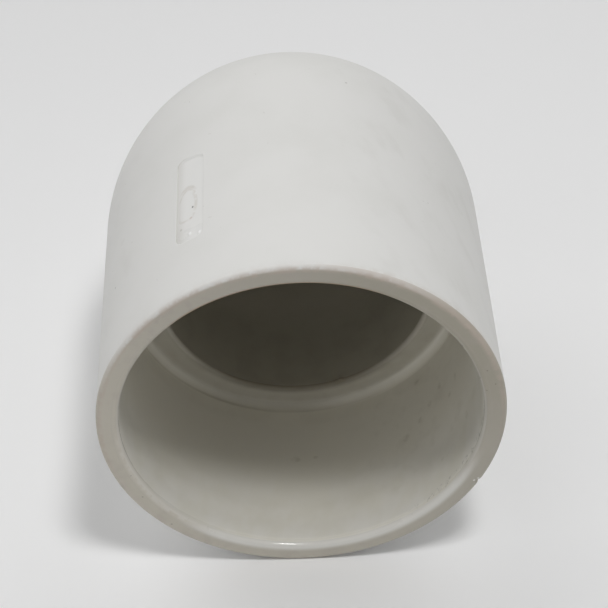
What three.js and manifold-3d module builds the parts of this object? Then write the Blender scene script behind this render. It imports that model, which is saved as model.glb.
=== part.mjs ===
// A solvent-weld pipe cap for 63 mm pressure pipe, moulded in one piece of unplasticised PVC.
//
// Millimetres, +Z up. The cap lies on its side: its axis runs along Y, at half its outside diameter
// above the surface that it lies on, its mouth faces -Y and its dome points to +Y. The origin is on
// that surface, below the middle of the cap's length.

import * as THREE from 'three';
import { mergeVertices } from 'three/addons/utils/BufferGeometryUtils.js';
import Module from 'manifold-3d';

// Outside
const outerRadius = 35.5;
const overallLength = 87.2;
const domeHeight = 37.7; // the dome is half an ellipsoid, a little longer than a half sphere
const outerRimRound = 0.8;

// Socket: the pipe slides in as far as the shoulder
const socketRadius = 31.65; // at the mouth
const innerRimRound = 1; // guides the pipe in
const socketRootRadius = 31.6; // the bore narrows a little towards its root
const socketDepth = 37.1;
const rootFillet = 1.6;

// Shoulder: a ring that leans back towards the mouth, with a rounded inner edge
const shoulderDepth = 34.8; // at its inner edge
const shoulderRadius = 25.25;
const shoulderRound = 0.7;

// Hollow behind the shoulder, which ends in a rounded bottom inside the dome
const hollowRootRadius = 23.5;
const hollowStraightDepth = 61.9;
const domeTipWall = 5.6;

// Moulding gate: a shallow flat-bottomed slot in the outside wall, up and to the -X side
const gateAngle = THREE.MathUtils.degToRad(-31); // from straight up, towards +X
const gateWidth = 5.5;
const gateLength = 23.2;
const gateCentreDepth = 25.45; // its middle, measured from the mouth
const gateFloorDepth = 0.32; // below the wall, at its middle
const gateCornerRound = 1.7;
const gateCutterHeight = 2; // enough to reach out through the wall

// Steps along each curve of the section, and on each corner of the gate slot
const hollowEndSteps = 8;
const domeSteps = 14;
const filletSteps = 3;
const rimSteps = 3;
const gateCornerSteps = 4;

// Facets of the round surfaces. The facets touch the true circle at their middles, so the cap is as
// wide as it should be across its flats, and it lies on one of them.
const facets = 72;
const facetGrowth = 1 / Math.cos(Math.PI / facets);
const halfFacet = Math.PI / facets;

const weldDistance = 1e-4; // points closer than this are one point

const mouthY = -overallLength / 2;
const barrelLength = overallLength - domeHeight;
const hollowDepth = overallLength - domeTipWall;

// A point of the section, from its distance to the axis and its depth behind the mouth.
function sectionPoint(radius, depth) {
  return new THREE.Vector2(radius, mouthY + depth);
}

// Points along a quarter of an ellipse, from the widest point to the axis, both ends included.
function quarterEllipse(radius, startDepth, height, steps) {
  const curve = new THREE.EllipseCurve(0, mouthY + startDepth, radius, height, 0, Math.PI / 2);
  const points = curve.getPoints(steps);
  points[steps].x = 0;
  return points;
}

// A corner of the section rounded by an arc that touches both of its sides.
function roundedCorner(before, corner, after, radius, steps) {
  const towardsBefore = before.clone().sub(corner).normalize();
  const towardsAfter = after.clone().sub(corner).normalize();
  const halfAngle = Math.acos(towardsBefore.dot(towardsAfter)) / 2;
  const middle = towardsBefore.clone().add(towardsAfter).normalize();
  const centre = corner.clone().addScaledVector(middle, radius / Math.sin(halfAngle));
  const reach = radius / Math.tan(halfAngle);
  const start = corner.clone().addScaledVector(towardsBefore, reach).sub(centre);
  const end = corner.clone().addScaledVector(towardsAfter, reach).sub(centre);
  const turn = Math.atan2(start.cross(end), start.dot(end));
  const points = [];
  for (let i = 0; i <= steps; i += 1) {
    points.push(start.clone().rotateAround(new THREE.Vector2(), (turn * i) / steps).add(centre));
  }
  return points;
}

// The section of the wall: up the hollow from its bottom to the mouth, over the rim, and along the
// outside to the tip of the dome.
function wallSection() {
  const hollowEnd = quarterEllipse(
    hollowRootRadius, hollowStraightDepth, hollowDepth - hollowStraightDepth, hollowEndSteps,
  ).reverse();
  const hollowStart = hollowEnd[hollowEnd.length - 1];
  const shoulderEdge = sectionPoint(shoulderRadius, shoulderDepth);
  const socketRoot = sectionPoint(socketRootRadius, socketDepth);
  const rimInner = sectionPoint(socketRadius, 0);
  const rimOuter = sectionPoint(outerRadius, 0);
  const barrelEnd = sectionPoint(outerRadius, barrelLength);
  return [
    ...hollowEnd,
    ...roundedCorner(hollowStart, shoulderEdge, socketRoot, shoulderRound, filletSteps),
    ...roundedCorner(shoulderEdge, socketRoot, rimInner, rootFillet, filletSteps),
    ...roundedCorner(socketRoot, rimInner, rimOuter, innerRimRound, rimSteps),
    ...roundedCorner(rimInner, rimOuter, barrelEnd, outerRimRound, rimSteps),
    ...quarterEllipse(outerRadius, barrelLength, domeHeight, domeSteps),
  ];
}

const wasm = await Module();
wasm.setup();

// A closed three.js geometry as a solid that can be cut.
function toSolid(geometry) {
  const bare = geometry.clone();
  bare.deleteAttribute('normal');
  bare.deleteAttribute('uv');
  const merged = mergeVertices(bare, weldDistance);
  const corners = merged.index.array;
  const triVerts = [];
  for (let i = 0; i < corners.length; i += 3) {
    const [a, b, c] = [corners[i], corners[i + 1], corners[i + 2]];
    if (a !== b && b !== c && c !== a) triVerts.push(a, b, c);
  }
  return new wasm.Manifold(new wasm.Mesh({
    numProp: 3,
    vertProperties: new Float32Array(merged.attributes.position.array),
    triVerts: new Uint32Array(triVerts),
  }));
}

// A solid back as a three.js geometry.
function toGeometry(solid) {
  const mesh = solid.getMesh();
  const geometry = new THREE.BufferGeometry();
  geometry.setAttribute('position', new THREE.BufferAttribute(mesh.vertProperties, 3));
  geometry.setIndex(new THREE.BufferAttribute(mesh.triVerts, 1));
  geometry.computeVertexNormals();
  return geometry;
}

// The cap without its gate slot, turned so that it lies on the middle of a facet.
function turnedWall() {
  const points = wallSection().map((point) => new THREE.Vector2(point.x * facetGrowth, point.y));
  const geometry = new THREE.LatheGeometry(points, facets);
  geometry.rotateY(halfFacet);
  return geometry;
}

// What the gate slot takes out of the wall: a block with rounded corners, standing on the slot's
// floor and reaching out through the wall.
function gateSlotCutter() {
  const [halfWidth, halfLength] = [gateWidth / 2, gateLength / 2];
  const round = gateCornerRound;
  const outline = new THREE.Shape();
  outline.absarc(halfWidth - round, halfLength - round, round, 0, Math.PI / 2);
  outline.absarc(round - halfWidth, halfLength - round, round, Math.PI / 2, Math.PI);
  outline.absarc(round - halfWidth, round - halfLength, round, Math.PI, 1.5 * Math.PI);
  outline.absarc(halfWidth - round, round - halfLength, round, 1.5 * Math.PI, 2 * Math.PI);
  const geometry = new THREE.ExtrudeGeometry(outline, {
    depth: gateCutterHeight, bevelEnabled: false, curveSegments: gateCornerSteps,
  });
  geometry.translate(0, mouthY + gateCentreDepth, outerRadius - gateFloorDepth);
  geometry.rotateY(gateAngle);
  return geometry;
}

function capBody() {
  const solid = toSolid(turnedWall()).subtract(toSolid(gateSlotCutter()));
  const material = new THREE.MeshStandardMaterial({
    color: 0xdedcd8, roughness: 0.38, metalness: 0,
  });
  const mesh = new THREE.Mesh(toGeometry(solid), material);
  mesh.name = 'cap_body';
  mesh.position.z = outerRadius;
  return mesh;
}

const pipeCap = new THREE.Group();
pipeCap.add(capBody());

export default pipeCap;
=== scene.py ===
"""Looks of the pipe cap: a white PVC-U end cap that lies on its side on a pale floor.

The CAD part gives the cap's box and its place. The cap's surface is made again here as one fine
turned mesh, with the marks that moulding, storage and handling leave on it, and with painted
light and painted shade in its colours. Sizes are in millimetres, measured from the cap's axis
(radius) and from its mouth (depth), with angles in degrees from straight up towards +X.
Blender's own units are metres.
"""

import math

import bpy
import numpy as np
from mathutils import Matrix, Vector


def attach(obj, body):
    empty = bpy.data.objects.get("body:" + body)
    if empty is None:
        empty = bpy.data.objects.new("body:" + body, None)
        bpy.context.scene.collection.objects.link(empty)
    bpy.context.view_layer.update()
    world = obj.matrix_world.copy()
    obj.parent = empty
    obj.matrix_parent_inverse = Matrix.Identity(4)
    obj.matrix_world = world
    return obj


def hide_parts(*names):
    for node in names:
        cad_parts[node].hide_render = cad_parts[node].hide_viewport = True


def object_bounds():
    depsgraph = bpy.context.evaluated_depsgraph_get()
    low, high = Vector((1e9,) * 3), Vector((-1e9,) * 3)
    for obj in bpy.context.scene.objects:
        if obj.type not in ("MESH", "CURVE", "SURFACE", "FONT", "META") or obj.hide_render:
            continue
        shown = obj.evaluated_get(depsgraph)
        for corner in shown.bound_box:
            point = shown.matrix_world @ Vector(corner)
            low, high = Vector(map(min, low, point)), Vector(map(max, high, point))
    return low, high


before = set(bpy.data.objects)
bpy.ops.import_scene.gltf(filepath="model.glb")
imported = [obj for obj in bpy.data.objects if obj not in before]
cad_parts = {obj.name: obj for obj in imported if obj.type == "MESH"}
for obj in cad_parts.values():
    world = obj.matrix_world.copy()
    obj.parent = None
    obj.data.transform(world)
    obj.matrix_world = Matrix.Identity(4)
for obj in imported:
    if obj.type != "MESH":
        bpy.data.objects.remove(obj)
cad_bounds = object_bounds()
cad_low, cad_high = (Vector(corner) for corner in cad_bounds)

MM = 0.001

# The cap's box, from the frame
OUTER_RADIUS = (cad_high.x - cad_low.x) / 2 / MM
LENGTH = (cad_high.y - cad_low.y) / MM
MOUTH_Y = cad_low.y / MM
AXIS_Z = cad_low.z / MM + OUTER_RADIUS

# The section, as the CAD part has it
DOME_HEIGHT = 37.7
OUTER_RIM_ROUND = 0.8
INNER_RIM_ROUND = 1.0
SOCKET_RADIUS = 31.65
SOCKET_ROOT_RADIUS = 31.6
SOCKET_DEPTH = 37.1
ROOT_FILLET = 1.6
SHOULDER_DEPTH = 34.8
SHOULDER_RADIUS = 25.25
SHOULDER_ROUND = 0.7
HOLLOW_ROOT_RADIUS = 23.5
HOLLOW_STRAIGHT_DEPTH = 61.9
DOME_TIP_WALL = 5.6

BARREL_LENGTH = LENGTH - DOME_HEIGHT
HOLLOW_DEPTH = LENGTH - DOME_TIP_WALL
RING_INNER = SOCKET_RADIUS + INNER_RIM_ROUND  # the mouth's ring is flat from here
RING_OUTER = OUTER_RADIUS - OUTER_RIM_ROUND  # to here
MM_PER_DEGREE = math.radians(OUTER_RADIUS)  # round the outside wall

# The gate slot in the outside wall
GATE_ANGLE = -31.0
GATE_WIDTH = 5.5
GATE_LENGTH = 23.2
GATE_CENTRE_DEPTH = 25.45
GATE_FLOOR_DEPTH = 0.32
GATE_CORNER_ROUND = 1.7
GATE_WALL_WIDTH = 0.1  # steep at the sides
GATE_RAMP_LENGTH = 0.9  # gentle at the end towards the dome

# The oval scar of the gate, in the slot: across and along from the slot's middle
SCAR_X = -0.45
SCAR_Y = -1.65
SCAR_HALF_WIDTH = 1.85
SCAR_HALF_LENGTH = 4.3
SCAR_HEIGHT = 0.05

# Two drips of plastic in the slot: angle and depth
DRIPS = ((-30.9, 15.8), (-27.8, 15.0))
DRIP_HEIGHT = 0.12
DRIP_RADIUS = 0.38

# Dirty marks in the bore: angle, depth, half width and half length
SOCKET_MARKS = (
    (112, 23.0, 0.8, 1.6),
    (122, 25.6, 0.9, 1.1),
    (117, 20.9, 0.9, 1.0),
    (128, 23.7, 1.0, 0.9),
    (108, 10.8, 1.0, 1.3),
    (133, 21.5, 1.2, 1.2),
    (133, 31.8, 1.2, 1.0),
    (140, 19.5, 1.3, 1.2),
    (125, 8.0, 0.8, 0.7),
    (-179, 21.9, 1.5, 1.0),
    (174, 22.1, 0.9, 0.6),
)

# A small chip in the mouth's outer edge
CHIP_ANGLE = 116.8
CHIP_SIZE = 0.34

# Flash, a thin lip of plastic, on the shoulder's inner edge
FLASH_ANGLE = 160.0
FLASH_SIZE = 0.75

# Dark specks on the ring of the mouth: angle, radius and size
RIM_SPECKS = (
    (70, 33.4, 0.22),
    (78, 32.3, 0.2),
    (76, 34.0, 0.2),
    (-111, 32.4, 0.2),
    (-121, 33.3, 0.24),
    (-136, 34.2, 0.26),
)

# Steps of the mesh along the stretches of the section
CORNER_STEPS = 8
HOLLOW_END_STEPS = 26
HOLLOW_STEPS = 22
SHOULDER_STEPS = 14
SOCKET_STEPS = 40
RING_STEPS = 10
MOUTH_TO_SLOT_STEPS = 16
SLOT_STEPS = 124
SLOT_TO_DOME_STEPS = 12
DOME_STEPS = 52

# The fine rows at the gate slot start this far before it, and end this far past it
ROWS_BEFORE_SLOT = 0.4
ROWS_PAST_SLOT = 1.6

COLUMN_SPACING = 2.0  # degrees, where nothing small needs finer columns


# ---------------------------------------------------------------- section


def straight(start, end, steps):
    """Points from start to end, without the end."""
    share = np.linspace(0, 1, steps + 1)[:-1, None]
    return np.array(start) * (1 - share) + np.array(end) * share


def rounded(before, corner, after, radius, steps):
    """A corner of the section rounded by an arc, from one touching point to the other."""
    before, corner, after = (np.array(point, float) for point in (before, corner, after))
    to_before = (before - corner) / np.linalg.norm(before - corner)
    to_after = (after - corner) / np.linalg.norm(after - corner)
    half_angle = math.acos(to_before @ to_after) / 2
    middle = (to_before + to_after) / np.linalg.norm(to_before + to_after)
    centre = corner + middle * radius / math.sin(half_angle)
    reach = radius / math.tan(half_angle)
    start = corner + to_before * reach - centre
    end = corner + to_after * reach - centre
    turn = math.atan2(start[0] * end[1] - start[1] * end[0], start @ end)
    angles = np.linspace(0, turn, steps + 1)
    x = centre[0] + start[0] * np.cos(angles) - start[1] * np.sin(angles)
    y = centre[1] + start[0] * np.sin(angles) + start[1] * np.cos(angles)
    return np.stack([x, y], axis=1)


def quarter_ellipse(radius, start_depth, height, steps):
    """Points from the widest point to the axis, which the last point lies on."""
    angles = np.linspace(0, math.pi / 2, steps + 1)
    points = np.stack([radius * np.cos(angles), start_depth + height * np.sin(angles)], axis=1)
    points[-1, 0] = 0
    return points


def wall_section():
    """Named stretches of the section, from the hollow's bottom over the rim to the dome's tip."""
    end_height = HOLLOW_DEPTH - HOLLOW_STRAIGHT_DEPTH
    hollow_end = quarter_ellipse(
        HOLLOW_ROOT_RADIUS, HOLLOW_STRAIGHT_DEPTH, end_height, HOLLOW_END_STEPS
    )[::-1]
    hollow_start = (HOLLOW_ROOT_RADIUS, HOLLOW_STRAIGHT_DEPTH)
    shoulder_edge = (SHOULDER_RADIUS, SHOULDER_DEPTH)
    socket_root = (SOCKET_ROOT_RADIUS, SOCKET_DEPTH)
    rim_inner = (SOCKET_RADIUS, 0)
    rim_outer = (OUTER_RADIUS, 0)
    barrel_end = (OUTER_RADIUS, BARREL_LENGTH)
    edge = rounded(hollow_start, shoulder_edge, socket_root, SHOULDER_ROUND, CORNER_STEPS)
    root = rounded(shoulder_edge, socket_root, rim_inner, ROOT_FILLET, CORNER_STEPS)
    inner = rounded(socket_root, rim_inner, rim_outer, INNER_RIM_ROUND, CORNER_STEPS)
    outer = rounded(rim_inner, rim_outer, barrel_end, OUTER_RIM_ROUND, CORNER_STEPS)
    slot_start = (OUTER_RADIUS, GATE_CENTRE_DEPTH - GATE_LENGTH / 2 - ROWS_BEFORE_SLOT)
    slot_end = (OUTER_RADIUS, GATE_CENTRE_DEPTH + GATE_LENGTH / 2 + ROWS_PAST_SLOT)
    return {
        "hollow": np.concatenate(
            [hollow_end[:-1], straight(hollow_start, edge[0], HOLLOW_STEPS)]
        ),
        "socket": np.concatenate(
            [
                edge[:-1],
                straight(edge[-1], root[0], SHOULDER_STEPS),
                root[:-1],
                straight(root[-1], inner[0], SOCKET_STEPS),
            ]
        ),
        "rim": np.concatenate(
            [inner[:-1], straight(inner[-1], outer[0], RING_STEPS), outer[:-1]]
        ),
        "outside": np.concatenate(
            [
                straight(outer[-1], slot_start, MOUTH_TO_SLOT_STEPS),
                straight(slot_start, slot_end, SLOT_STEPS),
                straight(slot_end, barrel_end, SLOT_TO_DOME_STEPS),
                quarter_ellipse(OUTER_RADIUS, BARREL_LENGTH, DOME_HEIGHT, DOME_STEPS),
            ]
        ),
    }


def column_angles():
    """The angles of the mesh's columns, in degrees, closer together where small features are."""
    angles = set(np.round(np.arange(-180, 180, COLUMN_SPACING), 3))
    half_slot = GATE_WIDTH / 2 / MM_PER_DEGREE
    fine_places = (  # middle, half width and spacing
        (GATE_ANGLE, 5.2, 0.2),
        (GATE_ANGLE - half_slot, 0.25, 0.05),
        (GATE_ANGLE + half_slot, 0.25, 0.05),
        (CHIP_ANGLE, 2.4, 0.3),
        (FLASH_ANGLE, 4.0, 0.5),
    )
    for middle, half_width, spacing in fine_places:
        angles.update(np.round(np.arange(middle - half_width, middle + half_width, spacing), 3))
    return np.array(sorted(angles))


# ---------------------------------------------------------------- marks made by moulding and wear


def smooth_step(low, high, value):
    """0 up to low and 1 from high on, with a smooth rise between."""
    share = np.clip((value - low) / (high - low), 0, 1)
    return share * share * (3 - 2 * share)


def bump(distance, width):
    """1 at no distance, falling smoothly to almost 0 at twice the width."""
    return np.exp(-((distance / width) ** 2))


def gate_slot(across, along):
    """How deep the gate slot is. across is towards straight up, along is towards the dome."""
    reach_x = np.abs(across) - GATE_WIDTH / 2 + GATE_CORNER_ROUND
    reach_y = np.abs(along) - GATE_LENGTH / 2 + GATE_CORNER_ROUND
    outside = np.hypot(np.maximum(reach_x, 0), np.maximum(reach_y, 0))
    distance = outside + np.minimum(np.maximum(reach_x, reach_y), 0) - GATE_CORNER_ROUND
    sagitta = across**2 / (2 * OUTER_RADIUS)
    at_top = smooth_step(0, GATE_CORNER_ROUND, along - GATE_LENGTH / 2 + GATE_CORNER_ROUND)
    ramp_length = GATE_RAMP_LENGTH * (1 + smooth_step(-1, GATE_WIDTH / 2, across))
    wall_width = GATE_WALL_WIDTH + (ramp_length - GATE_WALL_WIDTH) * at_top
    return (GATE_FLOOR_DEPTH - sagitta) * smooth_step(0, 1, -distance / wall_width)


def scar_distance(across, along):
    """1 on the scar's outline, less inside. It is oval, with one squarer corner."""
    x = (across - SCAR_X) / SCAR_HALF_WIDTH
    y = (along - SCAR_Y) / SCAR_HALF_LENGTH
    power = np.where((x < 0) & (y < 0), 6.0, 2.0)
    return (np.abs(x) ** power + np.abs(y) ** power) ** (1 / power)


def gate_relief(across, along):
    """What stands up from the slot's floor: the scar's flat stub and two drips."""
    distance = scar_distance(across, along)
    stub = SCAR_HEIGHT * (1 - smooth_step(0.84, 1.0, distance))
    drips = 0
    for angle, depth in DRIPS:
        drip_x = across - (angle - GATE_ANGLE) * MM_PER_DEGREE
        drip_y = along - (depth - GATE_CENTRE_DEPTH)
        drips = drips + DRIP_HEIGHT * bump(np.hypot(drip_x, drip_y), DRIP_RADIUS)
    return stub + drips


def outside_relief(angle, depth):
    """How far the outside wall of the barrel stands in from its true cylinder."""
    across = (angle - GATE_ANGLE) * MM_PER_DEGREE
    along = depth - GATE_CENTRE_DEPTH
    slot = gate_slot(across, along)
    return slot - smooth_step(0.02, 0.16, slot) * gate_relief(across, along)


def displace(radius, depth, angle, stretch):
    """Moves the points of one stretch of the section by the marks that it carries."""
    if stretch == "outside":
        on_barrel = depth < BARREL_LENGTH
        radius = radius - np.where(on_barrel, outside_relief(angle, depth), 0)
    if stretch in ("rim", "outside"):
        chip = bump(angle - CHIP_ANGLE - 0.2 * np.sin(9 * depth), 0.75)
        near_edge = bump(np.hypot(radius - OUTER_RADIUS + 0.2, depth - 0.2), 0.6)
        radius = radius - CHIP_SIZE * chip * near_edge
        depth = depth + CHIP_SIZE * chip * near_edge
    if stretch in ("hollow", "socket"):
        flash = bump(angle - FLASH_ANGLE, 1.5) + 0.45 * bump(angle - FLASH_ANGLE - 2.4, 1.0)
        near_edge = bump(np.hypot(radius - SHOULDER_RADIUS, depth - SHOULDER_DEPTH), 0.9)
        radius = radius - FLASH_SIZE * flash * near_edge
    return radius, depth


# ---------------------------------------------------------------- mesh


def cap_mesh():
    """The cap as one closed mesh of turned rows, with a material for each stretch."""
    stretches = wall_section()
    angles = column_angles()
    rows = []
    row_material = []
    for number, (name, points) in enumerate(stretches.items()):
        radius, depth = displace(points[:, :1], points[:, 1:], angles[None, :], name)
        rows.append(np.stack(np.broadcast_arrays(radius, depth, angles[None, :]), axis=-1))
        row_material += [number] * len(points)
    grid = np.concatenate(rows)
    turned = np.radians(grid[..., 2])
    places = np.stack(
        [
            grid[..., 0] * np.sin(turned),
            MOUTH_Y + grid[..., 1],
            AXIS_Z + grid[..., 0] * np.cos(turned),
        ],
        axis=-1,
    )
    places *= MM
    return closed_mesh("cap_body_surface", places, row_material)


def closed_mesh(name, places, row_material):
    """A mesh from rows of points, whose first and last rows are single points on the axis."""
    row_count, column_count = places.shape[:2]
    inner = places[1:-1].reshape(-1, 3)
    points = np.concatenate([places[:1, 0], inner, places[-1:, 0]])
    first_tip, last_tip = 0, len(points) - 1
    faces = []
    materials = []
    for row in range(row_count - 1):
        for column in range(column_count):
            following = (column + 1) % column_count
            here = 1 + (row - 1) * column_count
            above = here + column_count
            if row == 0:
                face = (first_tip, above + following, above + column)
            elif row == row_count - 2:
                face = (here + column, here + following, last_tip)
            else:
                face = (here + column, here + following, above + following, above + column)
            faces.append(face)
            materials.append(row_material[row])
    mesh = bpy.data.meshes.new(name)
    mesh.from_pydata(points.tolist(), [], faces)
    mesh.polygons.foreach_set("material_index", materials)
    mesh.polygons.foreach_set("use_smooth", [True] * len(faces))
    mesh.update()
    return mesh


# ---------------------------------------------------------------- materials


class Paint:
    """One material, with a short call for each kind of node that it is built from."""

    def __init__(self, name, seam_at_top=True):
        self.material = bpy.data.materials.new(name)
        self.material.use_nodes = True
        self.nodes = self.material.node_tree.nodes
        self.links = self.material.node_tree.links
        self.shader = self.nodes["Principled BSDF"]
        self.seam_at_top = seam_at_top
        self.find_place()

    def find_place(self):
        """Where a point lies: its place in mm, and its radius, depth and turn round the axis."""
        object_place = self.nodes.new("ShaderNodeTexCoord").outputs["Object"]
        self.place = self.vector("MULTIPLY", object_place, (1 / MM, 1 / MM, 1 / MM))
        parts = self.nodes.new("ShaderNodeSeparateXYZ")
        self.feed(parts.inputs[0], self.place)
        across = parts.outputs[0]
        upward = self.math("SUBTRACT", parts.outputs[2], AXIS_Z)
        self.depth = self.math("SUBTRACT", parts.outputs[1], MOUTH_Y)
        self.radius = self.distance(across, upward)
        self.degrees = self.math("MULTIPLY", self.math("ARCTAN2", across, upward), 180 / math.pi)

    def feed(self, socket, value):
        """Links an input to another node's output, or sets it to a plain value."""
        if isinstance(value, bpy.types.NodeSocket):
            self.links.new(value, socket)
        else:
            socket.default_value = value

    def math(self, operation, *values):
        node = self.nodes.new("ShaderNodeMath")
        node.operation = operation
        for socket, value in zip(node.inputs, values):
            self.feed(socket, value)
        return node.outputs[0]

    def vector(self, operation, first, second):
        node = self.nodes.new("ShaderNodeVectorMath")
        node.operation = operation
        self.feed(node.inputs[0], first)
        self.feed(node.inputs[1], second)
        return node.outputs[0]

    def square(self, value):
        return self.math("MULTIPLY", value, value)

    def distance(self, across, along):
        """How far away a place is that lies this far across and this far along."""
        return self.math("SQRT", self.math("ADD", self.square(across), self.square(along)))

    def both(self, *masks):
        """Masks multiplied together."""
        result = masks[0]
        for mask in masks[1:]:
            result = self.math("MULTIPLY", result, mask)
        return result

    def most(self, *masks):
        """The strongest of some masks at each point."""
        result = masks[0]
        for mask in masks[1:]:
            result = self.math("MAXIMUM", result, mask)
        return result

    def rise(self, value, low, high):
        """0 up to low and 1 from high on, with a smooth rise. It falls where low is above high."""
        node = self.nodes.new("ShaderNodeMapRange")
        node.interpolation_type = "SMOOTHSTEP"
        self.feed(node.inputs["Value"], value)
        node.inputs["From Min"].default_value = low
        node.inputs["From Max"].default_value = high
        return node.outputs[0]

    def band(self, value, middle, half_width, edge):
        """1 within half_width of the middle, falling to 0 over the edge's width."""
        away = self.math("ABSOLUTE", self.math("SUBTRACT", value, middle))
        return self.rise(away, half_width + edge, half_width)

    def away_from(self, angle):
        """Degrees from an angle, the short way round, negative before it."""
        return self.math("WRAP", self.math("SUBTRACT", self.degrees, angle), 180, -180)

    def sector(self, middle, half_width, edge):
        """1 within half_width of an angle, falling to 0 over the edge's degrees."""
        away = self.math("ABSOLUTE", self.away_from(middle))
        return self.rise(away, half_width + edge, half_width)

    def unrolled(self, width, length, lean=0.0):
        """The surface laid flat, in cells of this width and length, leaning by some degrees."""
        turn = self.away_from(180 if self.seam_at_top else 0)
        flat = self.nodes.new("ShaderNodeCombineXYZ")
        self.feed(flat.inputs[0], self.math("MULTIPLY", turn, MM_PER_DEGREE))
        self.feed(flat.inputs[1], self.depth)
        node = self.nodes.new("ShaderNodeMapping")
        node.vector_type = "TEXTURE"
        self.feed(node.inputs["Vector"], flat.outputs[0])
        node.inputs["Rotation"].default_value = (0, 0, math.radians(lean))
        node.inputs["Scale"].default_value = (width, length, 1)
        return node.outputs[0]

    def noise(self, size, detail=2.0, place=None):
        """Soft noise from 0 to 1, with features of about this size in mm."""
        node = self.nodes.new("ShaderNodeTexNoise")
        self.feed(node.inputs["Vector"], place or self.place)
        node.inputs["Scale"].default_value = 1 / size
        node.inputs["Detail"].default_value = detail
        return node.outputs[0]

    def specks(self, spacing, size, share, place=None, offset=0.0):
        """Small dots, about this far apart in mm. Only a share of the cells has one."""
        node = self.nodes.new("ShaderNodeTexVoronoi")
        shifted = self.vector("ADD", place or self.place, (offset, offset, offset))
        self.feed(node.inputs["Vector"], shifted)
        node.inputs["Scale"].default_value = 1 / spacing
        cell = self.nodes.new("ShaderNodeSeparateColor")
        self.feed(cell.inputs[0], node.outputs["Color"])
        kept = self.math("LESS_THAN", cell.outputs[0], share)
        dot_size = self.math("MULTIPLY", cell.outputs[1], size / spacing)
        dot = self.math("SUBTRACT", dot_size, node.outputs["Distance"])
        return self.both(kept, self.rise(dot, 0, 0.3 * size / spacing))

    def scratches(self, width, length, lean, share):
        """Thin short lines that all lean the same way, each in a cell nine times as wide."""
        cells = self.unrolled(width * 9, length, lean)
        return self.specks(1.0, 0.12, share, cells, offset=lean)

    def spot(self, angle, depth, width, length):
        """A soft oval mark centred on a place, with its half width and half length in mm."""
        across = self.math("MULTIPLY", self.away_from(angle), MM_PER_DEGREE / width)
        along = self.math("DIVIDE", self.math("SUBTRACT", self.depth, depth), length)
        return self.rise(self.distance(across, along), 1.0, 0.2)

    def ring_spot(self, angle, radius, size):
        """A soft round mark on the ring of the mouth, with its half width in mm."""
        across = self.math("MULTIPLY", self.away_from(angle), math.radians(radius))
        outward = self.math("SUBTRACT", self.radius, radius)
        return self.rise(self.distance(across, outward), size, 0.3 * size)

    def mix(self, colour, other, factor):
        """From one colour at factor 0 to the other at 1."""
        node = self.nodes.new("ShaderNodeMix")
        node.data_type = "RGBA"
        self.feed(node.inputs[0], factor)
        self.feed(node.inputs[6], colour)
        self.feed(node.inputs[7], other)
        return node.outputs[2]

    def stain(self, colour, other, mask, strength):
        """The other colour laid over the first where the mask is, no stronger than strength."""
        return self.mix(colour, other, self.math("MULTIPLY", mask, strength))

    def finish(self, colour, roughness, height, specular):
        """Feeds the shader. The height is in mm."""
        self.feed(self.shader.inputs["Base Color"], colour)
        self.feed(self.shader.inputs["Roughness"], roughness)
        self.shader.inputs["Specular IOR Level"].default_value = specular
        relief = self.nodes.new("ShaderNodeBump")
        relief.inputs["Distance"].default_value = MM
        self.feed(relief.inputs["Height"], height)
        self.feed(self.shader.inputs["Normal"], relief.outputs[0])
        return self.material


OUTSIDE_WHITE = (0.80, 0.796, 0.775, 1)
SLOT_WHITE = (0.835, 0.832, 0.812, 1)
OUTSIDE_GREY = (0.775, 0.772, 0.747, 1)
# Smudges and dirt, also used for painted shade in the gate slot
SMUDGE_AND_SHADE = (0.47, 0.455, 0.41, 1)
DARK_DIRT = (0.10, 0.09, 0.075, 1)
EDGE_STAIN = (0.55, 0.475, 0.41, 1)
# Brownish stain for the scar's outline, also used for painted shade down its right side
SCAR_STAIN_AND_SHADE = (0.52, 0.47, 0.40, 1)
# White for painted highlights on the drips, and for the white burr flecks at the chip
HIGHLIGHT_AND_BURR_WHITE = (0.99, 0.99, 0.985, 1)
RED_FLECK = (0.52, 0.30, 0.27, 1)
# Painted shade: the ring's grey, darker than the white PVC
RIM_SHADE_GREY = (0.585, 0.55, 0.475, 1)
# Painted shade: the ring's darker grey on its upper right
RIM_SHADED = (0.42, 0.395, 0.34, 1)
RIM_MAUVE = (0.47, 0.425, 0.385, 1)
# Painted shade: brown for the top of the mouth's inner edge
EDGE_SHADE_BROWN = (0.36, 0.235, 0.14, 1)
SOCKET_WHITE = (0.765, 0.75, 0.70, 1)
SOCKET_WARM = (0.735, 0.718, 0.65, 1)
SOCKET_YELLOWED = (0.75, 0.722, 0.635, 1)
# White wear on the mouth's inner edge, also used for painted light there
EDGE_WEAR_AND_LIGHT_WHITE = (0.77, 0.76, 0.72, 1)
# Painted light: pale white for the lit bottom just inside the mouth and the bright band at the bore's
# root
PAINTED_LIGHT_WHITE = (0.92, 0.895, 0.81, 1)
# Painted shade: dark brown at the bottom of the root and of the shoulder's inner edge
BOTTOM_SHADE = (0.20, 0.175, 0.125, 1)
# Grime in the bore and on the ring, also used for painted shade
GRIME_AND_SHADE = (0.34, 0.31, 0.22, 1)
# Painted shade: grey for the shoulder
SHOULDER_SHADE_GREY = (0.66, 0.635, 0.56, 1)
SHOULDER_BROWN = (0.46, 0.41, 0.31, 1)
# Painted shade: dark greys for the hollow, which is white PVC in deep shade
HOLLOW_SHADE_GREY = (0.36, 0.34, 0.285, 1)
HOLLOW_SHADE_DARK = (0.335, 0.315, 0.26, 1)
# Painted light: paler grey for the hollow's bottom, which faces the mouth
HOLLOW_LIT_PALE = (0.53, 0.505, 0.44, 1)


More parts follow.
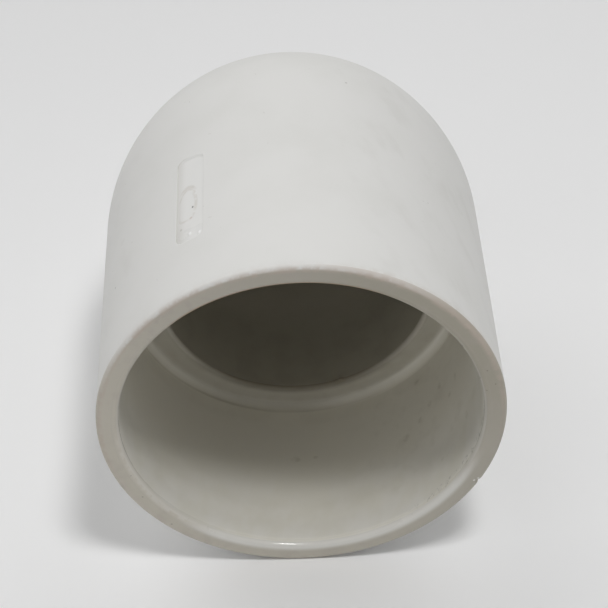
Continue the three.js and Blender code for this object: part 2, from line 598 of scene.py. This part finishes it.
def stained_patches(paint):
    """Where the mouth's outer edge is stained pinkish brown: in patches, over the upper part."""
    patches = paint.rise(paint.noise(6.0, 3.0), 0.40, 0.60)
    flecks = paint.rise(paint.noise(1.1, 4.0), 0.25, 0.65)
    upper = paint.sector(-8, 88, 22)
    share = paint.math("MULTIPLY_ADD", patches, 0.4, 0.6)
    return paint.both(upper, share, flecks)


def slot_inset(paint, across, along):
    """How far inside the slot's outline a place lies, in mm."""
    half_width, half_length = GATE_WIDTH / 2, GATE_LENGTH / 2
    x = paint.math("SUBTRACT", paint.math("ABSOLUTE", across), half_width - GATE_CORNER_ROUND)
    y = paint.math("SUBTRACT", paint.math("ABSOLUTE", along), half_length - GATE_CORNER_ROUND)
    past_x = paint.math("MAXIMUM", x, 0.0)
    past_y = paint.math("MAXIMUM", y, 0.0)
    past = paint.distance(past_x, past_y)
    within = paint.math("MINIMUM", paint.math("MAXIMUM", x, y), 0.0)
    return paint.math("SUBTRACT", GATE_CORNER_ROUND, paint.math("ADD", past, within))


def scar_outline(paint, scar_x, scar_y):
    """1 on the scar's outline, as scar_distance gives it."""
    square_corner = paint.both(paint.rise(scar_x, 0.01, -0.01), paint.rise(scar_y, 0.01, -0.01))
    power = paint.math("MULTIPLY_ADD", square_corner, 4.0, 2.0)
    x = paint.math("POWER", paint.math("ABSOLUTE", scar_x), power)
    y = paint.math("POWER", paint.math("ABSOLUTE", scar_y), power)
    return paint.math("POWER", paint.math("ADD", x, y), paint.math("DIVIDE", 1.0, power))


def scar_lines(paint, scar_x, scar_y):
    """Ragged lines on the scar's outline, and a wider band round its top. The band down its right
    side is painted shade of the scar's raised edge.
    """
    scar = scar_outline(paint, scar_x, scar_y)
    below = paint.both(paint.rise(scar_y, -0.7, -0.9), paint.rise(scar_x, 0.75, 0.25))
    top_or_below = paint.most(paint.rise(scar_y, 0.1, 0.6), below)
    lines = paint.most(
        paint.both(paint.band(scar, 0.97, 0.02, 0.08), top_or_below),
        # Painted shade down the right side of the scar's raised edge
        paint.both(paint.band(scar, 0.90, 0.07, 0.16), paint.rise(scar_x, 0.35, 0.75)),
        paint.both(paint.band(scar, 1.13, 0.06, 0.12), paint.rise(scar_y, 0.7, 1.05)),
    )
    return paint.both(lines, paint.rise(paint.noise(1.0, 3.0), 0.25, 0.6))


def slot_spots(paint, colour):
    """Three small spots of dirt in the slot, and painted highlights on its drips."""
    colour = paint.stain(colour, DARK_DIRT, paint.spot(-30.1, 22.6, 0.27, 0.36), 0.85)
    colour = paint.stain(colour, SMUDGE_AND_SHADE, paint.spot(-33.9, 17.9, 0.3, 0.45), 0.5)
    colour = paint.stain(colour, RED_FLECK, paint.spot(-30.6, 19.9, 0.35, 0.3), 0.3)
    # Painted highlights: white spots on the drips
    for angle, depth in DRIPS:
        colour = paint.stain(colour, HIGHLIGHT_AND_BURR_WHITE, paint.spot(angle, depth, DRIP_RADIUS, 0.6), 1.0)
    return colour


def gate_marks(paint, colour):
    """The slot's paler floor and its stains, painted shade along its lower wall and below the scar,
    and a mask of its glossy part, below the scar.
    """
    across = paint.math("MULTIPLY", paint.away_from(GATE_ANGLE), MM_PER_DEGREE)
    along = paint.math("SUBTRACT", paint.depth, GATE_CENTRE_DEPTH)
    inset = slot_inset(paint, across, along)
    in_slot = paint.rise(inset, 0.0, 0.1)
    colour = paint.stain(colour, SLOT_WHITE, in_slot, 0.8)
    # Painted shade on the slot's floor along the foot of its lower wall, and on that wall itself
    shaded_lower_side = paint.rise(across, 2.0 - GATE_WIDTH / 2, 0.1 - GATE_WIDTH / 2)
    colour = paint.stain(colour, SMUDGE_AND_SHADE, paint.both(in_slot, shaded_lower_side), 0.26)
    lower_half = paint.rise(across, 0.6, -1.2)
    wall = paint.both(in_slot, paint.band(inset, 0.08, 0.1, 0.12), lower_half)
    colour = paint.stain(colour, SMUDGE_AND_SHADE, wall, 0.24)

    scar_x = paint.math("DIVIDE", paint.math("SUBTRACT", across, SCAR_X), SCAR_HALF_WIDTH)
    scar_y = paint.math("DIVIDE", paint.math("SUBTRACT", along, SCAR_Y), SCAR_HALF_LENGTH)
    lines = paint.both(in_slot, scar_lines(paint, scar_x, scar_y))
    # Stains on the scar's outline, with painted shade down its right side
    colour = paint.stain(colour, SCAR_STAIN_AND_SHADE, lines, 0.32)
    below_scar = paint.both(in_slot, paint.rise(scar_y, -0.98, -1.6))
    # Painted shade on the lower side of the slot, below the scar
    shaded = paint.both(below_scar, paint.rise(across, 0.8, -2.2))
    colour = paint.stain(colour, SMUDGE_AND_SHADE, shaded, 0.16)
    return slot_spots(paint, colour), below_scar


def outside_pvc():
    """Smooth white PVC, with handling smudges, specks, the gate's scar and the stained edge."""
    paint = Paint("pvc_outside", seam_at_top=False)
    colour = paint.mix(OUTSIDE_WHITE, OUTSIDE_GREY, paint.rise(paint.noise(14.0, 3.0), 0.35, 0.75))

    handled = paint.most(paint.sector(48, 26, 14), paint.sector(-76, 18, 12))
    smudges = paint.rise(paint.noise(7.0, 5.0, paint.unrolled(0.7, 1.5, 28)), 0.50, 0.72)
    colour = paint.stain(colour, SMUDGE_AND_SHADE, paint.both(handled, smudges), 0.09)
    hairlines = paint.most(
        paint.scratches(0.09, 3.2, 24, 0.10),
        paint.scratches(0.08, 2.2, -38, 0.08),
        paint.scratches(0.08, 4.0, 71, 0.06),
    )
    colour = paint.stain(colour, SMUDGE_AND_SHADE, hairlines, 0.35)
    colour = paint.stain(colour, DARK_DIRT, paint.specks(4.2, 0.42, 0.14, offset=11.0), 0.30)
    wide_dots = paint.both(paint.specks(9.0, 1.3, 0.18, offset=5.0), paint.noise(0.8))
    colour = paint.stain(colour, SMUDGE_AND_SHADE, wide_dots, 0.14)

    colour, glossy = gate_marks(paint, colour)
    edge = paint.both(stained_patches(paint), paint.rise(paint.depth, 2.2, 0.6))
    colour = paint.stain(colour, EDGE_STAIN, edge, 0.12)
    colour = paint.stain(colour, EDGE_STAIN, paint.both(edge, paint.sector(45, 22, 18)), 0.22)

    satin = paint.math("MULTIPLY_ADD", paint.noise(2.0, 3.0), 0.16, 0.48)
    roughness = paint.math("MULTIPLY_ADD", glossy, -0.30, satin)
    peel = paint.math("MULTIPLY", paint.noise(1.6, 2.0), 0.004)
    height = paint.math("MULTIPLY_ADD", hairlines, -0.006, peel)
    return paint.finish(colour, roughness, height, specular=0.14)


def ring_colour(paint):
    """Painted shade: grey, darker than the white PVC, and darkest on the upper right; with mauve
    blotches.
    """
    # Painted shade: darker towards the upper right of the ring
    shaded_side = paint.math("MULTIPLY", paint.sector(48, 25, 125), 0.8)
    colour = paint.mix(RIM_SHADE_GREY, RIM_SHADED, shaded_side)
    # More painted shade over the upper right, in the grime colour
    colour = paint.stain(colour, GRIME_AND_SHADE, paint.sector(50, 20, 35), 0.28)
    blotches = paint.rise(paint.noise(3.2, 4.0), 0.48, 0.72)
    colour = paint.stain(colour, RIM_MAUVE, blotches, 0.30)
    small_blotches = paint.rise(paint.noise(1.7, 3.0), 0.45, 0.65)
    upper_left = paint.sector(-34, 14, 12)
    return paint.stain(colour, RIM_MAUVE, paint.both(upper_left, small_blotches), 0.5)


def outer_edge_marks(paint, colour):
    """The mouth's rounded outer edge: white over the top, with a pinkish brown stain."""
    rounding = paint.rise(paint.radius, RING_OUTER + 0.05, RING_OUTER + 0.5)
    over_top = paint.both(rounding, paint.sector(-14, 36, 30))
    colour = paint.stain(colour, OUTSIDE_WHITE, over_top, 0.9)
    line = paint.band(paint.radius, RING_OUTER + 0.2, 0.15, 0.6)
    colour = paint.stain(colour, EDGE_STAIN, paint.both(stained_patches(paint), line), 0.7)
    by_edge = paint.rise(paint.radius, RING_OUTER - 0.1, RING_OUTER + 0.25)
    upper_right = paint.both(paint.sector(38, 22, 16), by_edge)
    return paint.stain(colour, EDGE_STAIN, upper_right, 0.45)


def chip_marks(paint, colour):
    """A smudge below the chip, and white flecks inward of it and above it."""
    smudge = paint.ring_spot(CHIP_ANGLE + 1.6, RING_OUTER + 0.05, 0.35)
    colour = paint.stain(colour, SMUDGE_AND_SHADE, smudge, 0.8)
    fleck = paint.ring_spot(CHIP_ANGLE, RING_OUTER - 0.35, 0.28)
    colour = paint.stain(colour, HIGHLIGHT_AND_BURR_WHITE, fleck, 0.9)
    upper_fleck = paint.ring_spot(CHIP_ANGLE - 1.3, RING_OUTER + 0.05, 0.3)
    return paint.stain(colour, HIGHLIGHT_AND_BURR_WHITE, upper_fleck, 0.6)


def inner_edge_marks(paint, colour, inner_edge):
    """The mouth's rounded inner edge: paler, with white wear flecks on the lower left and painted
    light at the bottom and along its innermost part, and brown painted shade over the top.
    """
    begins = paint.both(paint.band(paint.radius, RING_INNER + 0.2, 0.02, 0.12), paint.noise(2.0, 3.0))
    colour = paint.stain(colour, SMUDGE_AND_SHADE, begins, 0.35)

    # Painted light at the bottom of the rounded edge and along its innermost part; real white wear
    # flecks on the lower left
    rounding = paint.rise(paint.radius, RING_INNER + 0.75, RING_INNER - 0.45)
    bottom = paint.both(paint.sector(165, 42, 22), rounding)
    ragged = paint.rise(paint.noise(1.6, 4.0), 0.30, 0.62)
    lower_left = paint.both(paint.sector(-122, 20, 12), inner_edge, ragged)
    innermost = paint.rise(paint.radius, RING_INNER - 0.55, RING_INNER - 0.85)
    worn_and_lit = paint.most(
        bottom,
        paint.math("MULTIPLY", lower_left, 0.5),
        paint.math("MULTIPLY", innermost, 0.58),
    )
    colour = paint.stain(colour, EDGE_WEAR_AND_LIGHT_WHITE, worn_and_lit, 0.9)

    # Painted shade: brown along the top of the inner edge, which faces down
    top = paint.both(paint.sector(-8, 26, 14), paint.rise(paint.depth, 0.03, 0.1))
    return paint.stain(colour, EDGE_SHADE_BROWN, paint.both(top, inner_edge), 0.85)


def rim_pvc():
    """The ring of the mouth with its two rounded edges: matt, pitted and stained, and grey as painted
    shade.
    """
    paint = Paint("pvc_rim")
    pits = paint.most(paint.specks(1.3, 0.34, 0.22), paint.specks(2.6, 0.5, 0.20, offset=3.0))
    inner_edge = paint.rise(paint.radius, RING_INNER + 0.1, RING_INNER - 0.75)
    colour = ring_colour(paint)
    colour = paint.stain(colour, SMUDGE_AND_SHADE, pits, 0.40)
    colour = paint.stain(colour, DARK_DIRT, paint.specks(3.6, 0.45, 0.16, offset=8.0), 0.45)
    colour = outer_edge_marks(paint, colour)
    colour = chip_marks(paint, colour)
    spots = paint.most(*(paint.ring_spot(*place) for place in RIM_SPECKS))
    colour = paint.stain(colour, DARK_DIRT, spots, 0.4)
    colour = inner_edge_marks(paint, colour, inner_edge)

    matt = paint.math("MULTIPLY_ADD", paint.noise(1.2, 3.0), 0.2, 0.55)
    polished = paint.both(inner_edge, paint.sector(178, 20, 20))
    roughness = paint.math("MULTIPLY_ADD", inner_edge, -0.34, matt)
    roughness = paint.math("MULTIPLY_ADD", polished, -0.16, roughness)
    grain = paint.math("MULTIPLY", paint.noise(0.35, 3.0), 0.012)
    height = paint.math("MULTIPLY_ADD", pits, -0.02, grain)
    return paint.finish(colour, roughness, height, specular=0.4)


def bore_colour(paint):
    """White with faint streaks, yellower further in, with painted light at the bottom just inside the
    mouth and a patchy band of painted shade about 5 to 10 mm in.
    """
    streaks = paint.noise(1.0, 4.0, paint.unrolled(4.0, 8.0, 20))
    clouds = paint.noise(9.0, 3.0)
    warm = paint.rise(paint.math("ADD", streaks, clouds), 0.80, 1.20)
    colour = paint.mix(SOCKET_WHITE, SOCKET_WARM, warm)
    colour = paint.stain(colour, SOCKET_YELLOWED, paint.rise(paint.depth, 4.0, 22.0), 0.85)
    # Painted light: palest at the bottom just inside the mouth
    lit_by_mouth = paint.both(paint.rise(paint.depth, 2.4, 1.0), paint.sector(158, 40, 25))
    colour = paint.stain(colour, PAINTED_LIGHT_WHITE, lit_by_mouth, 0.5)
    # Painted shade: a patchy darker band about 5 to 10 mm into the bore
    shaded_band = paint.both(paint.band(paint.depth, 7.5, 2.0, 4.0), paint.noise(6.0, 3.0))
    return paint.stain(colour, GRIME_AND_SHADE, shaded_band, 0.26)


def bore_grime(paint, colour):
    """Soft stains, a faint ring, a line of painted shade near the root, single marks, and grains of
    dirt.
    """
    in_bore = paint.rise(paint.depth, 4.0, 10.0)
    cloudy = paint.rise(paint.noise(3.6, 5.0), 0.50, 0.70)
    stains = paint.both(in_bore, paint.sector(120, 28, 22), cloudy)
    colour = paint.stain(colour, GRIME_AND_SHADE, stains, 0.09)
    patches = paint.rise(paint.noise(6.0, 4.0), 0.35, 0.62)
    ring = paint.both(paint.band(paint.depth, SOCKET_DEPTH - 4.1, 0.8, 2.0), patches)
    colour = paint.stain(colour, GRIME_AND_SHADE, ring, 0.08)
    # Painted shade: a thin dark line where the bore meets the root's fillet, on the left side
    line = paint.band(paint.depth, SOCKET_DEPTH - 2.0, 0.08, 0.3)
    colour = paint.stain(colour, GRIME_AND_SHADE, paint.both(line, paint.sector(-105, 45, 25)), 0.28)
    ragged = paint.rise(paint.noise(1.1, 4.0), 0.28, 0.62)
    marks = paint.most(*(paint.spot(*place) for place in SOCKET_MARKS))
    colour = paint.stain(colour, GRIME_AND_SHADE, paint.both(marks, ragged), 0.30)
    grains = paint.both(in_bore, paint.specks(3.4, 0.5, 0.12, offset=2.0))
    return paint.stain(colour, GRIME_AND_SHADE, grains, 0.30)


def shoulder_colour(paint, colour, root):
    """The bore's root with a pale band of painted reflection, the shoulder greyer as painted shade,
    and the shoulder's inner edge dark as painted shade, darkest at the bottom.
    """
    # Painted reflection: a pale band round the root, brightest on the lower right, fainter on the
    # left
    left = paint.math("MULTIPLY", paint.sector(-105, 20, 30), 0.3)
    bright = paint.most(paint.sector(138, 20, 18), left)
    colour = paint.stain(colour, PAINTED_LIGHT_WHITE, paint.both(root, bright), 0.9)
    # Painted shade at the bottom of the root
    colour = paint.stain(colour, BOTTOM_SHADE, paint.both(root, paint.sector(180, 20, 30)), 0.2)

    # Painted shade: the shoulder greyer than the bore
    face = paint.rise(paint.radius, SOCKET_ROOT_RADIUS - 0.7, SOCKET_ROOT_RADIUS - 1.6)
    colour = paint.stain(colour, SHOULDER_SHADE_GREY, face, 0.9)
    brown = paint.rise(paint.noise(3.5, 3.0), 0.40, 0.80)
    colour = paint.stain(colour, SHOULDER_BROWN, paint.both(face, brown), 0.20)

    # Painted shade: the shoulder's inner edge darkening into the hollow, most at the bottom
    edge = paint.rise(paint.radius, SHOULDER_RADIUS + 1.35, SHOULDER_RADIUS - 0.35)
    colour = paint.stain(colour, HOLLOW_SHADE_DARK, edge, 0.7)
    wide_edge = paint.rise(paint.radius, SHOULDER_RADIUS + 2.35, SHOULDER_RADIUS - 0.25)
    shaded_bottom = paint.both(wide_edge, paint.sector(180, 22, 40))
    return paint.stain(colour, BOTTOM_SHADE, shaded_bottom, 0.85)


def socket_pvc():
    """The bore and the shoulder: satin white PVC with grime, painted light and painted shade, and
    scuffs just inside the mouth.
    """
    paint = Paint("pvc_socket")
    root = paint.both(
        paint.rise(paint.depth, SOCKET_DEPTH - 2.8, SOCKET_DEPTH - 2.1),
        paint.rise(paint.radius, SOCKET_ROOT_RADIUS - 1.8, SOCKET_ROOT_RADIUS - 0.9),
    )
    scuffed = paint.both(paint.sector(112, 22, 10), paint.band(paint.depth, 1.9, 0.4, 0.6))
    scuffs = paint.both(scuffed, paint.rise(paint.noise(0.8, 3.0), 0.54, 0.66))
    colour = bore_grime(paint, bore_colour(paint))
    colour = shoulder_colour(paint, colour, root)
    colour = paint.stain(colour, DARK_DIRT, scuffs, 0.32)

    satin = paint.math("MULTIPLY_ADD", paint.noise(2.2, 3.0), 0.16, 0.34)
    shiny = paint.most(paint.rise(paint.depth, 2.2, 1.2), root)
    roughness = paint.math("MULTIPLY_ADD", shiny, -0.20, satin)
    waves = paint.math("MULTIPLY", paint.noise(1.0, 2.0, paint.unrolled(1.6, 6.0)), 0.005)
    height = paint.math("MULTIPLY_ADD", scuffs, -0.01, waves)
    return paint.finish(colour, roughness, height, specular=0.45)


def hollow_pvc():
    """The hollow behind the shoulder: dull, dark grey as painted shade with dusty mottling, and paler
    towards its bottom as painted light.
    """
    paint = Paint("pvc_hollow")
    # Painted shade, mottled like dust
    dust = paint.rise(paint.noise(5.0, 4.0), 0.40, 0.68)
    colour = paint.mix(HOLLOW_SHADE_GREY, HOLLOW_SHADE_DARK, dust)
    # Painted light: paler towards the hollow's bottom
    colour = paint.stain(colour, HOLLOW_LIT_PALE, paint.rise(paint.depth, 46.0, 62.0), 0.8)
    roughness = paint.math("MULTIPLY_ADD", paint.noise(2.0, 3.0), 0.15, 0.5)
    height = paint.math("MULTIPLY", paint.noise(1.2, 3.0), 0.006)
    return paint.finish(colour, roughness, height, specular=0.3)


# ---------------------------------------------------------------- stage


def add_floor():
    """A round pale floor that rises in one sweep to a low wall, far outside the object."""
    sweep = rounded((1.0, 0), (3.0, 0), (3.2, 0.6), 0.9, 12)
    profile = np.concatenate([[[1.0, 0]], sweep, [[3.2, 0.6]]])
    mesh = bpy.data.meshes.new("floor")
    sides = 96
    turns = np.radians(np.arange(sides) * 360 / sides)[None, :]
    radius, height = profile[:, :1], profile[:, 1:]
    rows = np.stack(
        np.broadcast_arrays(radius * np.cos(turns), radius * np.sin(turns), height), axis=-1
    )
    points = rows.reshape(-1, 3)
    faces = [tuple(range(sides))]
    for row in range(len(profile) - 1):
        for column in range(sides):
            following = (column + 1) % sides
            here, above = row * sides, (row + 1) * sides
            faces.append((here + column, here + following, above + following, above + column))
    mesh.from_pydata(points.tolist(), [], faces)
    floor = bpy.data.objects.new("floor", mesh)
    bpy.context.collection.objects.link(floor)
    material = bpy.data.materials.new("pale_floor")
    material.use_nodes = True
    shader = material.node_tree.nodes["Principled BSDF"]
    shader.inputs["Base Color"].default_value = (0.95, 0.95, 0.95, 1)
    shader.inputs["Roughness"].default_value = 0.6
    floor.data.materials.append(material)


def direction(azimuth, elevation):
    """The direction of an azimuth, from +Y towards +X, and an elevation, both in degrees."""
    turn, lift = math.radians(azimuth), math.radians(elevation)
    level = math.cos(lift)
    return Vector((math.sin(turn) * level, math.cos(turn) * level, math.sin(lift)))


def lamp(power):
    """The one small bright lamp, high in front and a little to the right."""
    light = bpy.data.lights.new("key", "AREA")
    light.size = 0.135
    light.energy = power
    holder = bpy.data.objects.new("key", light)
    bpy.context.collection.objects.link(holder)
    place = Vector((0.113, -0.196, 0.73))
    to_cap = Vector((0, 0, 0.035)) - place
    facing = to_cap.to_track_quat("-Z", "Y").to_matrix().to_4x4()
    holder.matrix_world = Matrix.Translation(place) @ facing
    holder.visible_camera = False


def soft_light(name, azimuth, elevation, spread, power):
    """Light from far away, softer with a wider spread, which is in degrees."""
    light = bpy.data.lights.new(name, "SUN")
    light.angle = math.radians(spread)
    light.energy = power
    holder = bpy.data.objects.new(name, light)
    bpy.context.collection.objects.link(holder)
    to_light = direction(azimuth, elevation)
    holder.matrix_world = to_light.to_track_quat("Z", "Y").to_matrix().to_4x4()


def add_lights():
    """One lamp, and soft light from the sides and from behind."""
    lamp(2.0)
    soft_light("back", 0, 20, 50, 0.49)
    soft_light("back_left", -45, 35, 60, 0.71)
    soft_light("back_right", 45, 35, 60, 0.31)
    soft_light("left", -90, 45, 70, 0.24)
    soft_light("right", 90, 45, 70, 0.22)
    soft_light("front_left", -140, 40, 50, 0.31)
    soft_light("front_right", 140, 40, 50, 0.09)
    world = bpy.data.worlds.new("room")
    bpy.context.scene.world = world
    world.use_nodes = True
    background = world.node_tree.nodes["Background"]
    background.inputs["Color"].default_value = (1, 1, 1, 1)
    background.inputs["Strength"].default_value = 0.02


def add_camera():
    """Looks down into the mouth, from a little to the left."""
    camera = bpy.data.cameras.new("camera")
    camera.lens = 110.16
    camera.sensor_width = 36
    holder = bpy.data.objects.new("camera", camera)
    bpy.context.collection.objects.link(holder)
    target = Vector((1.32, -17.95, 40.47)) * MM
    distance = 337.05 * MM
    to_camera = direction(181.89, 41.46)
    roll = Matrix.Rotation(math.radians(-0.39), 4, "Z")
    facing = to_camera.to_track_quat("Z", "Y").to_matrix().to_4x4() @ roll
    holder.matrix_world = Matrix.Translation(target + to_camera * distance) @ facing
    bpy.context.scene.camera = holder


def add_cap():
    cap = bpy.data.objects.new("cap_body_surface", cap_mesh())
    bpy.context.collection.objects.link(cap)
    for material in (hollow_pvc(), socket_pvc(), rim_pvc(), outside_pvc()):
        cap.data.materials.append(material)
    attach(cap, "root")
    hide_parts("cap_body")


add_floor()
add_lights()
add_camera()
add_cap()

bpy.context.scene.view_settings.view_transform = "Standard"
